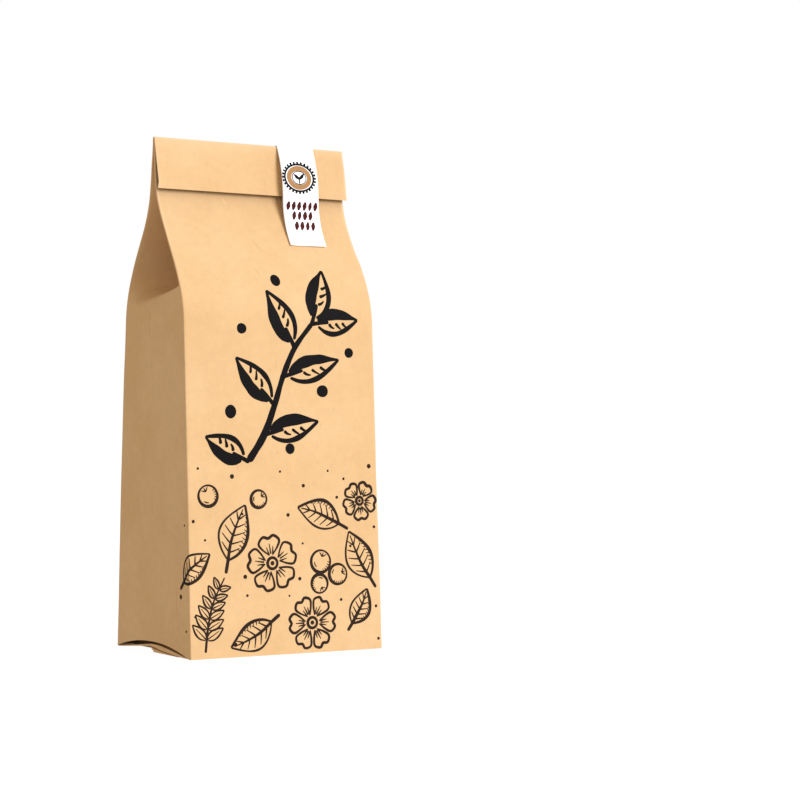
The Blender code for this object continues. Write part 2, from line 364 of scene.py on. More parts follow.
class Nodes:
    """A short way to wire a material's nodes."""

    def __init__(self, material):
        self.tree = material.node_tree
        self.shader = self.tree.nodes["Principled BSDF"]
        self.place = self.add("ShaderNodeTexCoord").outputs["Object"]

    def add(self, kind, inputs=None, **settings):
        node = self.tree.nodes.new(kind)
        for name, value in settings.items():
            setattr(node, name, value)
        for name, value in (inputs or {}).items():
            self.give(node.inputs[name], value)
        return node

    def give(self, socket, value):
        if isinstance(value, bpy.types.NodeSocket):
            self.tree.links.new(value, socket)
        else:
            socket.default_value = value

    def put(self, **values):
        """Gives the shader's inputs: an underscore in a name stands for a space."""
        for name, value in values.items():
            self.give(self.shader.inputs[name.replace("_", " ")], value)

    def noise(self, scale, detail=3.0, roughness=0.5, stretch=(1.0, 1.0, 1.0), turn=(0.0, 0.0, 0.0)):
        inputs = {"Vector": self.place, "Scale": stretch, "Rotation": turn}
        mapped = self.add("ShaderNodeMapping", inputs).outputs["Vector"]
        values = {"Vector": mapped, "Scale": scale, "Detail": detail, "Roughness": roughness}
        return self.add("ShaderNodeTexNoise", values).outputs["Fac"]

    def spread(self, value, low, high, new_low=0.0, new_high=1.0):
        inputs = {"Value": value, "From Min": low, "From Max": high}
        inputs.update({"To Min": new_low, "To Max": new_high})
        return self.add("ShaderNodeMapRange", inputs).outputs["Result"]

    def maths(self, operation, first, second):
        return self.add("ShaderNodeMath", {0: first, 1: second}, operation=operation).outputs[0]

    def blend(self, factor, first, second, mode="MIX"):
        inputs = {"Factor": factor, "A": first, "B": second}
        return self.add("ShaderNodeMix", inputs, data_type="RGBA", blend_type=mode).outputs["Result"]

    def bump(self, height, strength, distance, normal=None):
        inputs = {"Height": height, "Strength": strength, "Distance": distance}
        if normal is not None:
            inputs["Normal"] = normal
        return self.add("ShaderNodeBump", inputs).outputs["Normal"]


def new_material(name, colour, roughness, shine=0.5):
    material = bpy.data.materials.new(name)
    material.use_nodes = True
    nodes = Nodes(material)
    nodes.put(Base_Color=(*colour, 1.0), Roughness=roughness, Specular_IOR_Level=shine)
    return material, nodes


def kraft_material():
    """Smooth natural kraft: cloudy, softly mottled, with fine fibres and a few flecks; its folds paler where
    worn and with painted highlight, its hollows darker with painted shade.
    """
    material, nodes = new_material("kraft_paper", (0.668, 0.424, 0.205), 0.74, 0.25)
    cloud = nodes.spread(nodes.noise(30.0, 3.0, 0.55), 0.35, 0.65)
    colour = nodes.blend(cloud, (0.648, 0.405, 0.189, 1.0), (0.686, 0.443, 0.221, 1.0))
    mottle = nodes.spread(nodes.noise(260.0, 5.0, 0.62), 0.33, 0.67, 0.962, 1.03)
    upright = nodes.noise(900.0, 3.0, 0.6, stretch=(1.0, 1.0, 0.16), turn=(0.0, 0.35, 0.0))
    across = nodes.noise(1000.0, 3.0, 0.6, stretch=(0.20, 0.20, 1.0), turn=(0.0, -0.5, 0.3))
    fibres = nodes.maths("ADD", upright, across)
    streaks = nodes.spread(fibres, 0.75, 1.25, 0.985, 1.015)
    tone = nodes.maths("MULTIPLY", mottle, streaks)
    specks = nodes.noise(700.0, 1.0, 0.4, stretch=(1.0, 1.0, 0.4), turn=(0.0, 0.7, 0.0))
    flecks = nodes.spread(specks, 0.72, 0.77, 1.0, 0.90)
    tone = nodes.maths("MULTIPLY", tone, flecks)
    # Painted shade: an attribute darkens the colour under and behind the flap, in the side folds and
    # underneath.
    shade = nodes.add("ShaderNodeAttribute", attribute_name="contact_shade").outputs["Fac"]
    tone = nodes.maths("MULTIPLY", tone, nodes.maths("SUBTRACT", 1.0, shade))
    grey = nodes.add("ShaderNodeCombineColor", {"Red": tone, "Green": tone, "Blue": tone})
    colour = nodes.blend(1.0, colour, grey.outputs["Color"], "MULTIPLY")
    # Painted highlight, with worn paper: an attribute pales the colour along the top fold, the edges and the
    # front's rims near the neck.
    wear_and_highlight = nodes.add("ShaderNodeAttribute", attribute_name="fold_wear_and_highlight").outputs["Fac"]
    colour = nodes.blend(nodes.maths("MULTIPLY", wear_and_highlight, 0.55), colour, (0.80, 0.58, 0.36, 1.0))
    fine = nodes.bump(fibres, 0.15, 0.00005)
    coarse = nodes.bump(nodes.noise(160.0, 5.0, 0.55), 0.30, 0.0003, fine)
    nodes.put(Base_Color=colour, Normal=coarse, Roughness=nodes.spread(mottle, 0.962, 1.03, 0.68, 0.78))
    return material


def white_paper_material():
    material, nodes = new_material("white_paper", (0.93, 0.93, 0.92), 0.5)
    tone = nodes.spread(nodes.noise(120.0, 3.0, 0.5), 0.3, 0.7)
    colour = nodes.blend(tone, (0.915, 0.915, 0.905, 1.0), (0.945, 0.945, 0.940, 1.0))
    nodes.put(Base_Color=colour, Normal=nodes.bump(nodes.noise(900.0, 3.0), 0.12, 0.00005))
    return material


def ink_material(name, colour):
    """Printed ink that the paper's grain shows through a little."""
    material, nodes = new_material(name, colour, 0.6, 0.05)
    grain = nodes.spread(nodes.noise(2600.0, 3.0, 0.7), 0.55, 0.78)
    faded = tuple(mix(c, 0.20, 0.05) for c in colour)
    nodes.put(Base_Color=nodes.blend(grain, (*colour, 1.0), (*faded, 1.0)))
    return material


def flap_line(t):
    """Inner and outer points (y, z) of the folded top: t is 0 to 1 over the fold, 1 to 2 down the flap."""
    if t <= 1.0:
        angle = math.pi * t
        direction = np.array((math.cos(angle), math.sin(angle)))
        centre = np.array((0.0, FOLD_HEIGHT))
        return centre + direction * FOLD_CORE, centre + direction * FOLD_RADIUS
    down = t - 1.0
    bottom = BAG_HEIGHT - FLAP_DROP
    outer = np.array((mix(-FOLD_RADIUS, -FLAP_STAND_OFF, down), mix(FOLD_HEIGHT, bottom, down)))
    thickness = mix(FOLD_RADIUS - FOLD_CORE, FLAP_THICKNESS, smooth(down * 4.0))
    return outer + np.array((thickness, 0.0)), outer


def fold_slant(level, place):
    """How far a side panel's row of points sags, so that the fold starts along one row."""
    near = ramp(level, SLANT_RAMP) * (1.0 - ramp(level, SLANT_END_RAMP))
    back = smooth((place - GUSSET_LOW_PLACE) / (1.0 - GUSSET_LOW_PLACE))
    return (GUSSET_FRONT_RISE - onset_rise(place)) * float(near * (1.0 - back))


def gusset_point(corner, place, level, end_in, end_share):
    """A point of a side panel: corner is -1 left and 1 right, place runs from -1 in front to 1 behind."""
    z = level - fold_slant(level, place)
    behind = (place + 1.0) / 2.0
    onset = onset_rise(place)
    begun = smooth((z - onset - GUSSET_START) / mix(*ONSET_SPAN, behind))
    rounding = mix(*GUSSET_ROUNDING, float(smooth(behind)))
    inward = float(valley_depth(z - onset) * begun) * (1.0 - abs(place) ** rounding)
    y = float(lean(z)) + place * float(half_depth(z)) * (1.0 - 2.0 * end_share)
    return (corner * (float(half_width(z)) - end_in - inward), y, z)


def fill_rear(ring, half, shift):
    """Swells the rear half of an outline, most at the back panel."""
    return [(x, y + float(rear_swell(z)) * min(max((y - shift) / half, 0.0), 1.0), z) for x, y, z in ring]


def walk_outline(on_panel, on_corner, on_fold, angles):
    """An outline's points and marks in turn: a panel, a corner, a side fold, the next corner; twice."""
    both = []
    for side in (-1.0, 1.0):
        both += [on_panel(side, spot) for spot in np.linspace(-1.0, 1.0, ACROSS_STEPS + 1)]
        both += [on_corner(side, side, angle) for angle in angles]
        both += [on_fold(side, spot) for spot in np.linspace(-1.0, 1.0, GUSSET_STEPS + 1)]
        both += [on_corner(side, -side, angle) for angle in angles[::-1]]
    return [point for point, _ in both], [mark for _, mark in both]


def body_ring(level):
    """One outline of the bag, with each point's panel, its place there and how near a folded edge it is."""
    half, width, shift = float(half_depth(level)), float(half_width(level)), float(lean(level))
    swell = float(belly(level))
    radius = min(EDGE_RADIUS, 0.42 * half)
    turn = math.atan2(float(valley_depth(level - GUSSET_FRONT_RISE)), half)
    end_in = radius * (1.0 - math.cos(turn))
    end_share = radius * (1.0 + math.sin(turn)) / (2.0 * half)

    def on_panel(side, spot):
        x = -side * spot * (width - radius)
        y = shift + side * (half + swell * (1.0 - (x / width) ** 2))
        return (x, y, level), (FRONT if side < 0 else BACK, x / width, 0.0)

    def on_corner(side, end, angle):
        x = -side * (width - radius * (1.0 - math.cos(angle)))
        y = shift + end * (half - radius * (1.0 + math.sin(angle)))
        return (x, y, level), (SIDES[side > 0], end, 1.0)

    def on_fold(side, spot):
        point = gusset_point(-side, -side * spot, level, end_in, end_share)
        return point, (SIDES[side > 0], spot, 0.0)

    angles = np.linspace(-math.pi / 2, turn, CORNER_STEPS + 2)[1:-1]
    ring, marks = walk_outline(on_panel, on_corner, on_fold, angles)
    return fill_rear(ring, half, shift), marks


def flap_ring(t):
    inner, outer = flap_line(t)
    width = float(half_width(FOLD_HEIGHT))
    gap = math.dist(inner, outer)
    radius = FLAP_EDGE_SHARE * gap
    depth = mix(float(valley_depth(FOLD_HEIGHT)), FLAP_SLIT, float(smooth(t * 3.0)))

    def at(x, share, place, edge):
        y, z = mix(inner, outer, share)
        return (x, y, z), (FLAP, place, edge)

    def on_panel(side, spot):
        return at(-side * spot * (width - radius), 0.0 if side < 0 else 1.0, -side * spot, 0.0)

    def on_corner(side, end, angle):
        share = radius * (1.0 + math.sin(angle)) / gap
        x = -side * (width - radius * (1.0 - math.cos(angle)))
        return at(x, share if end < 0 else 1.0 - share, -side, 1.0)

    def on_fold(side, spot):
        place = -side * spot
        share = mix(0.4, 0.6, (place + 1.0) / 2)
        return at(-side * (width - radius - depth * (1.0 - abs(place))), share, -side, 0.0)

    angles = np.linspace(-math.pi / 2, math.pi / 2 * 0.92, CORNER_STEPS + 2)[1:-1]
    return walk_outline(on_panel, on_corner, on_fold, angles)


def bag_levels():
    """Heights of the bag's rows, closer where the side folds start."""
    onset = GUSSET_START + GUSSET_FRONT_RISE
    below = list(np.linspace(0.0, onset, int(onset / GRAIN_STEP) + 1))
    start = [onset + 0.00008 * step**2 for step in range(1, 11)]
    count = int((FOLD_HEIGHT - start[-1]) / GRAIN_STEP)
    return below + start + list(np.linspace(start[-1], FOLD_HEIGHT, count + 1)[1:])


def raise_hem(ring, marks, z):
    """Lifts the lower edge of each side panel into its arch."""
    raised = []
    for (x, y, height), (panel, _, _) in zip(ring, marks):
        if panel in SIDES and z < HEM_BLEND:
            hem = float(hem_height(y))
            height = hem + z * (1.0 - hem / HEM_BLEND)
        raised.append((x, y, height))
    return raised


def base_rings(ring):
    """The outlines under the bag: the paper's turned edge, the side gap's roof, and the bag's floor."""
    turned = [(x * 0.9955, y * 0.994, z + 0.00005) for x, y, z in ring]
    width = PANEL_WIDTH / 2
    scale_x = (width - HEM_RECESS) / width
    roof = [(x * scale_x, y * 0.985, z + 0.0002) for x, y, z in ring]
    floor = [(x * scale_x * 0.99, y * 0.98, 0.0003) for x, y, _ in ring]
    return [turned, roof, floor]


def bag_mesh():
    rows, marks_of = [], []
    for z in bag_levels():
        ring, marks = body_ring(z)
        rows.append(raise_hem(ring, marks, z))
        marks_of.append([(panel, place, edge, z) for panel, place, edge in marks])
    below = base_rings(rows[0])
    rows = below[::-1] + rows
    hidden = [(UNDERSIDE, 0.0, 0.0, 0.0)] * len(rows[0])
    marks_of = [hidden] * len(below) + marks_of
    stops = [(step + 1) / FOLD_STEPS for step in range(FOLD_STEPS)]
    stops += [1.0 + (step + 1) / FLAP_STEPS for step in range(FLAP_STEPS)]
    for t in stops:
        ring, marks = flap_ring(t)
        rows.append(ring)
        marks_of.append([(panel, place, edge, t) for panel, place, edge in marks])
    count = len(rows[0])
    vertices = [point for row in rows for point in row]
    faces = []
    for level in range(len(rows) - 1):
        start = level * count
        for here in range(count):
            after = (here + 1) % count
            faces.append((start + here, start + after, start + count + after, start + count + here))
    faces.append(tuple(range(count))[::-1])
    across = ACROSS_STEPS
    last = (len(rows) - 1) * count
    half = count // 2
    for step in range(across):
        lower = last + half + across - step
        faces.append((last + step, last + step + 1, lower - 1, lower))
    faces.append(tuple(range(last + across, last + half + 1)))
    faces.append(tuple([last] + list(range(last + count - 1, last + half + across - 1, -1)))[::-1])
    marks = np.array([mark for row in marks_of for mark in row])
    return np.array(vertices), faces, marks


def crease(points, start, end, width, height):
    """A sharp little fold from start to end, in the panel's own plane of (across, up)."""
    start, end = np.array(start), np.array(end)
    along = end - start
    length = np.linalg.norm(along)
    share = np.clip(((points - start) @ along) / length**2, 0.0, 1.0)
    near = start + share[:, None] * along
    distance = np.linalg.norm(points - near, axis=1)
    fade = np.sin(np.pi * np.clip(share, 0.03, 0.97)) ** 0.5
    return height * fade * np.maximum(1.0 - distance / width, 0.0) ** 1.5


def wrinkles(vertices, marks):
    """How far each point of the paper lies proud of the plain form, in metres."""
    panel, place = marks[:, 0], marks[:, 1]
    z = vertices[:, 2]
    height = np.zeros(len(vertices))
    for rise, scale, start in WAVES:
        height += rise * np.array([noise.noise(Vector(v) * scale + Vector(start)) for v in vertices])
    front = np.stack([vertices[:, 0], z], axis=1)
    for start, end, width, lift in FRONT_CREASES:
        height = np.where(panel == FRONT, height + crease(front, start, end, width, lift), height)
    inner = 1.0 - np.abs(place) ** 6
    fade = mix(0.35, 1.0, inner) * ramp(z, FOOT_RAMP) * (1.0 - 0.75 * ramp(z, WAVE_END_RAMP))
    return height * np.where(panel < FLAP, fade, 0.0)


def vertex_normals(item):
    normals = np.zeros(len(item.data.vertices) * 3)
    item.data.vertices.foreach_get("normal", normals)
    return normals.reshape(-1, 3)


def slope_top(points, marks):
    """Tilts the folded top a little, as a hand leaves it, and fits its ends and the neck's right edge."""
    x, z = points[:, 0], points[:, 2].copy()
    points[:, 2] -= TOP_SLOPE * x * ramp(z, SLOPE_RAMP)
    down = np.where(marks[:, 0] == FLAP, np.clip(marks[:, 3] - 1.0, 0.0, 1.0), 0.0)
    neck = ramp(z, NECK_RIGHT_RAMP) * (1.0 - ramp(z, NECK_RIGHT_END_RAMP)) * (marks[:, 0] < FLAP)
    left, right = 0.5 - x / PANEL_WIDTH, 0.5 + x / PANEL_WIDTH
    shift = FLAP_LEFT_NARROWING * down * left
    shift -= FLAP_CORNER_FLARE * ramp(down, FLAP_CORNER_RAMP) * left**FLARE_POWER
    shift += (FLAP_RIGHT_FLARE * smooth(down * 2.0) - NECK_RIGHT_DRAW_IN * neck) * right**FLARE_POWER
    points[:, 0] += shift
    return points


def fold_wear_and_highlight(vertices, marks):
    """Where the paper is paler, partly worn and partly painted highlight: the flap's edges, the top fold and
    the front's edges near the neck.
    """
    panel, place, edge, t = marks.T
    flap = np.where(panel == FLAP, 1.0, 0.0)
    crest = flap * np.exp(-(((t - CREST_PLACE) / CREST_SPAN) ** 2))
    rim = ramp(np.abs(place), RIM_RAMP) * RIM_WEAR_AND_HIGHLIGHT
    front = np.where(panel == FRONT, ramp(vertices[:, 2], RIM_HEIGHT_RAMP), 0.0)
    edges = edge * mix(EDGE_WEAR_AND_HIGHLIGHT, FLAP_WEAR_AND_HIGHLIGHT, flap)
    return np.maximum.reduce([edges, CREST_WEAR_AND_HIGHLIGHT * crest, rim * np.maximum(front, flap)])


def contact_shade(vertices, marks):
    """Painted shade: how much darker the paper's colour is made where little light comes: at the flap, in the
    side folds, underneath.
    """
    panel, z = marks[:, 0], vertices[:, 2]
    below = BAG_HEIGHT - FLAP_DROP - z
    near = np.maximum(below, 0.0)
    front = FLAP_EDGE_SHADE * np.exp(-((near / FLAP_EDGE_REACH) ** 1.5))
    front += FLAP_WIDE_SHADE * np.exp(-near / FLAP_WIDE_REACH)
    behind = BEHIND_FLAP_SHADE + BEHIND_FLAP_RISE * smooth(-below / BEHIND_FLAP_SPAN)
    side = GUSSET_SHADE * np.exp(-(((z - GUSSET_SHADE_HEIGHT) / GUSSET_SHADE_REACH) ** 2))
    shade = np.where(panel == UNDERSIDE, UNDERSIDE_SHADE, 0.0)
    shade = np.where(panel == FRONT, np.where(below < 0.0, behind, front), shade)
    return np.where(np.isin(panel, SIDES), side, shade)


def make_bag(material):
    vertices, faces, marks = bag_mesh()
    bag = new_object("bag_paper", vertices, faces, material)
    shift = wrinkles(vertices, marks)
    moved = slope_top(vertices + vertex_normals(bag) * shift[:, None], marks)
    bag.data.vertices.foreach_set("co", moved.ravel())
    # Both attributes paint light into the colour: paler folds (worn paper and painted highlight) and darker
    # hollows (painted shade).
    painted = {"fold_wear_and_highlight": fold_wear_and_highlight(vertices, marks), "contact_shade": contact_shade(vertices, marks)}
    for name, values in painted.items():
        layer = bag.data.attributes.new(name, "FLOAT", "POINT")
        layer.data.foreach_set("value", values.astype(np.float32))
    bag.data.update()
    bag.data.set_sharp_from_angle(angle=math.radians(50))
    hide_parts("bag")
    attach(bag, "root")
    return bag


def slab(name, outline, half, material):
    """A closed solid drawn out along X from an outline of (y, z) points, with its edges eased."""
    count = len(outline)
    vertices = [(side * half, y, z) for side in (-1.0, 1.0) for y, z in outline]
    faces = [tuple(range(count)), tuple(range(count, 2 * count))[::-1]]
    for here in range(count):
        after = (here + 1) % count
        faces.append((here + count, after + count, after, here))
    item = new_object(name, vertices, faces, material, False)
    eased = item.modifiers.new("eased_edges", "BEVEL")
    eased.width = SLAB_BEVEL
    eased.segments = 2
    eased.limit_method = "ANGLE"
    eased.angle_limit = math.radians(35)
    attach(item, "root")
    return item


def profile(points, steps=40):
    """A line through the points, sampled evenly in y."""
    line = np.array(points)
    places = np.linspace(line[0, 0], line[-1, 0], steps)
    return [(y, float(np.interp(y, line[:, 0], line[:, 1]))) for y in places]


def make_base_layers(material):
    """The folded paper under the bag: one layer that arches off the ground and one that lies on it."""
    half = PANEL_WIDTH / 2
    upper = profile(UPPER_TOP) + profile(UPPER_UNDER)[::-1]
    slab("base_upper_layer", upper, half - UPPER_INSET, material)
    lower = profile(LOWER_TOP, 16) + list(LOWER_END)
    slab("base_lower_layer", lower, half - LOWER_INSET, material)


def strip_line():
    """The white strip's middle line as (y, z): up the back, over the fold, and bulging to the front."""
    line = []
    for z in np.linspace(STRIP_BACK_END, FOLD_HEIGHT, 20)[:-1]:
        line.append((float(lean(z) + half_depth(z) + rear_swell(z)) + STRIP_GAP, z))
    for angle in np.linspace(0.0, STRIP_LEAVE_ANGLE, 13):
        reach = FOLD_RADIUS + STRIP_GAP
        line.append((reach * math.cos(angle), FOLD_HEIGHT + reach * math.sin(angle)))
    bulge = (-STRIP_BULGE_OUT, STRIP_BULGE_HEIGHT)
    heights = (STRIP_FRONT_END, STRIP_FRONT_END - SLOPE_STEP)
    foot, below = [(float(front_face(STRIP_CENTRE_X, z)) - STRIP_GAP, z) for z in heights]
    heading = (-math.sin(STRIP_LEAVE_ANGLE), math.cos(STRIP_LEAVE_ANGLE))
    line += bend(line[-1], heading, bulge, (0.0, -1.0))
    line += bend(bulge, (0.0, -1.0), foot, (below[0] - foot[0], below[1] - foot[1]))
    return np.array(line)


def bend(start, leaving, end, arriving, steps=18):
    """A smooth curve from start to end with these directions at its ends, without its first point."""
    start, leaving, end, arriving = (np.array(item, float) for item in (start, leaving, end, arriving))
    span = np.linalg.norm(end - start)
    leaving *= span / np.linalg.norm(leaving)
    arriving *= span / np.linalg.norm(arriving)
    points = []
    for t in np.linspace(0.0, 1.0, steps + 1)[1:]:
        a, b = 2 * t**3 - 3 * t**2 + 1, t**3 - 2 * t**2 + t
        c, d = 3 * t**2 - 2 * t**3, t**3 - t**2
        points.append(tuple(a * start + b * leaving + c * end + d * arriving))
    return points


def make_strip(material):
    line = strip_line()
    along = np.gradient(line, axis=0)
    along /= np.linalg.norm(along, axis=1)[:, None]
    outward = np.stack([along[:, 1], -along[:, 0]], axis=1)
    across = np.linspace(-1.0, 1.0, 17)
    vertices, faces = [], []
    count = len(across)
    share = np.linspace(0.0, 1.0, len(line))
    for (y, z), (out_y, out_z), t in zip(line, outward, share):
        for a in across:
            wave = STRIP_WAVE * noise.noise(Vector((a * 1.2, t * 5.0, 4.0)))
            curl = STRIP_EDGE_CURL * a**4 * smooth((t - 0.80) / 0.2)
            push = wave + (curl + STRIP_END_CURL * smooth((t - 0.95) / 0.05))
            vertices.append((STRIP_CENTRE_X + a * STRIP_WIDTH / 2, y + out_y * push, z + out_z * push))
    for row in range(len(line) - 1):
        for column in range(count - 1):
            here = row * count + column
            faces.append((here, here + 1, here + count + 1, here + count))
    strip = new_object("label_strip", vertices, faces, material)
    thick = strip.modifiers.new("thickness", "SOLIDIFY")
    thick.thickness = STRIP_THICKNESS
    thick.offset = 0.0
    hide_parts("label")
    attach(strip, "root")
    return strip


def flow(points, step=INK_STEP, closed=False):
    """A smooth line through the points, its length so far at each of them, and its count of steps."""
    points = np.array(points, float)
    before, after = 2 * points[0] - points[1], 2 * points[-1] - points[-2]
    if closed:
        before, after = points[-2], points[1]
    ends = np.vstack([before, points, after])
    samples = []
    for first in range(len(points) - 1):
        p, q, r, s = ends[first : first + 4]
        t = np.linspace(0.0, 1.0, 12, endpoint=False)[:, None]
        square = (2 * p - 5 * q + 4 * r - s) * t**2
        samples.append(0.5 * (2 * q + (r - p) * t + square + (3 * q - p - 3 * r + s) * t**3))
    line = np.vstack(samples + [points[-1:]])
    reach = np.concatenate([[0.0], np.cumsum(np.linalg.norm(np.diff(line, axis=0), axis=1))])
    return line, reach, max(int(reach[-1] / step), 4)


def pen(points, widths, step=INK_STEP, closed=False):
    """A drawn line with round ends and a hand's unevenness, or a closed ring: widths are spread along it."""
    line, reach, count = flow(points, step, closed)
    length = reach[-1]
    places = np.linspace(0.0, length, count, endpoint=False)
    if not closed:
        caps = [max(w, 0.15) / 2 for w in (widths[0], widths[-1])]
        turns = 1.0 - np.cos(np.linspace(0.12, 1.0, 5) * math.pi / 2)
        middle = np.linspace(caps[0], length - caps[1], count + 1)
        places = np.concatenate([caps[0] * turns, middle, length - caps[1] * turns])
        places = np.unique(np.round(np.clip(places, 0.0, length), 3))
    spots = np.stack([np.interp(places, reach, line[:, 0]), np.interp(places, reach, line[:, 1])], axis=1)
    width = np.interp(places / length, np.linspace(0.0, 1.0, len(widths)), widths)
    if closed:
        return spots, width
    seed = float(points[0][0]) * 0.37 + float(points[0][1]) * 0.71
    shake = np.array([noise.noise(Vector((p * 0.16, seed, 0.0))) for p in places])
    width = width * (1.0 + 0.22 * shake)
    start = np.clip(places / caps[0], 0.0, 1.0)
    finish = np.clip((length - places) / caps[1], 0.0, 1.0)
    width = width * np.sqrt(1.0 - (1.0 - start) ** 2) * np.sqrt(1.0 - (1.0 - finish) ** 2)
    return spots, np.maximum(width, 0.02)


class Press:
    """Lays drawn lines on the paper as one thin closed mesh."""

    def __init__(self, name, surface, material, slot, lift=INK_LIFT):
        self.name, self.surface, self.material, self.slot = name, surface, material, slot
        self.lift = lift
        self.vertices, self.faces, self.lines = [], [], 0

    def spot(self, across, up, lift):
        """A point on the paper, and on round the left edge where across passes it."""
        half = PANEL_WIDTH / 2
        x, z = across / 1000.0, up / 1000.0
        if x > -half + ROUND_EDGE:
            start = Vector((x, -RAY_START, z))
            place, normal, _, _ = self.surface.ray_cast(start, Vector((0.0, 1.0, 0.0)))
        else:
            y = float(-half_depth(z) + max(-half - x, 0.0))
            place, normal, _, _ = self.surface.find_nearest(Vector((max(x, -half), y, z)))
        return place + normal * lift

    def draw(self, points, widths, step=INK_STEP, closed=False):
        """Prints a line, or a ring where it is closed; a line is cut off where the print ends."""
        spots, width = pen(points, widths, step, closed)
        if closed:
            self.lay(spots, width, True)
            return
        inside = (spots[:, 1] > PRINT_FLOOR - width / 2) & (spots[:, 0] < PRINT_RIGHT + width / 2)
        changes = np.flatnonzero(np.diff(np.concatenate([[0], inside, [0]])))
        for start, end in changes.reshape(-1, 2):
            if end - start > 1:
                self.lay(spots[start:end], width[start:end])

    def lay(self, spots, width, closed=False):
        """Lays rows of points across the line, on the paper and just under it."""
        tangent = np.gradient(spots, axis=0)
        if closed:
            tangent = np.roll(spots, -1, axis=0) - np.roll(spots, 1, axis=0)
        tangent /= np.maximum(np.linalg.norm(tangent, axis=1), 1e-9)[:, None]
        sideways = np.stack([-tangent[:, 1], tangent[:, 0]], axis=1)
        count = max(1, math.ceil(width.max() / LINE_MESH)) + 1
        lift = self.lift + LINE_LAYER_LIFT * (self.lines % LINE_LAYERS)
        first = len(self.vertices)
        for height in (lift, -INK_SINK):
            for spot, side, w in zip(spots, sideways, width):
                for share in np.linspace(-0.5, 0.5, count):
                    across, up = spot + side * w * share
                    self.vertices.append(self.spot(min(across, PRINT_RIGHT), max(up, PRINT_FLOOR), height))
        self.close(first, len(spots), count, closed)
        self.lines += 1

    def close(self, first, rows, count, ring=False):
        """The faces of one sheet: its upper and lower side, its edges, and its ends unless it is a ring."""
        under = rows * count
        for row in range(rows if ring else rows - 1):
            here, beyond = first + row * count, first + (row + 1) % rows * count
            for column in range(count - 1):
                quad = (here + column, beyond + column, beyond + column + 1, here + column + 1)
                self.faces.append(quad)
                self.faces.append(tuple(v + under for v in quad[::-1]))
            for column in (0, count - 1):
                wall = (here + column, here + column + under, beyond + column + under, beyond + column)
                self.faces.append(wall if column == 0 else wall[::-1])
        for row in () if ring else (0, rows - 1):
            for column in range(count - 1):
                a = first + row * count + column
                wall = (a, a + 1, a + under + 1, a + under)
                self.faces.append(wall if row == 0 else wall[::-1])

    def dot(self, across, up, radius):
        points = [(across - radius, up), (across, up + 0.02), (across + radius, up)]
        self.draw(points, (2 * radius,) * 3, radius * 0.5)

    def ring(self, across, up, radius, widths, turn=0.0):
        angles = np.linspace(turn, turn + 2 * math.pi, 25)
        self.draw([around(across, up, radius, a) for a in angles], widths, closed=True)

    def finish(self):
        item = new_object(self.name, self.vertices, self.faces, self.material, False)
        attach(item, "root")


def surface_of(item):
    """The item's finished mesh, to lay print on."""
    graph = bpy.context.evaluated_depsgraph_get()
    return BVHTree.FromObject(item, graph)


def turned(base, angle, along, aside):
    """The point that lies along and aside from base, in a frame turned by angle."""
    c, s = math.cos(angle), math.sin(angle)
    return (base[0] + along * c - aside * s, base[1] + along * s + aside * c)


def around(across, up, radius, angle):
    """The point at that radius and angle from a centre."""
    return (across + radius * math.cos(angle), up + radius * math.sin(angle))


def brush_leaf(press, base, angle, length, width):
    """A bold leaf: one half filled by the brush, the other an open stroke with short veins."""

    def at(u, aside):
        return turned(base, angle, length * u, aside)

    shares = np.linspace(0.04, 1.0, 9)
    arch = [math.sin(math.pi * u**0.8) for u in shares]
    for side, belly_at in ((-1.0, 0.43 * width), (1.0, 0.27 * width)):
        points = [at(u, side * (belly_at * a + 0.25 * (1 - u))) for u, a in zip(shares, arch)]
        if side > 0:
            widths = [0.44 * width * max(a, 0.16) for a in arch]
        else:
            widths = [0.17 * width * (0.55 + 0.6 * math.sin(math.pi * u)) for u in shares]
        press.draw(points, widths)
    for u in (0.30, 0.46, 0.62):
        end = at(u + 0.12, -0.30 * width * math.sin(math.pi * u))
        press.draw([at(u, -0.05 * width), at(u + 0.05, -0.17 * width), end], (1.7, 1.3, 0.7))
    stalk = [turned(base, angle, -length * 0.14, 0.0), base, turned(base, angle, length * 0.3, 0.1)]
    press.draw(stalk, (2.4, 2.1, 1.6))


def bold_sprig(press):
    """A large sprig of leaves and berries in the middle of the front."""
    stem = [(-20, 93), (-11, 106), (-5, 120), (0, 134), (7, 148), (17, 160)]
    press.draw(stem, (4.2, 3.5, 3.2, 2.9, 2.7, 2.3))
    leaves = (
        (stem[0], 152, 22), (stem[1], 12, 27), (stem[2], 132, 27), (stem[3], 15, 29),
        (stem[4], 116, 27), (stem[5], 5, 23), (stem[5], 68, 25),
    )
    for base, degrees, length in leaves:
        angle = math.radians(degrees)
        start = turned(base, angle, 2.6, 0.0)
        brush_leaf(press, start, angle, length * 1.05, 13.5)
    berries = ((-29, 117, 3.0), (22, 127, 3.2), (0, 181, 2.7), (38, 146, 2.5), (-22, 157, 2.6), (3, 99, 2.6))
    for across, up, radius in berries:
        press.dot(across, up, radius)


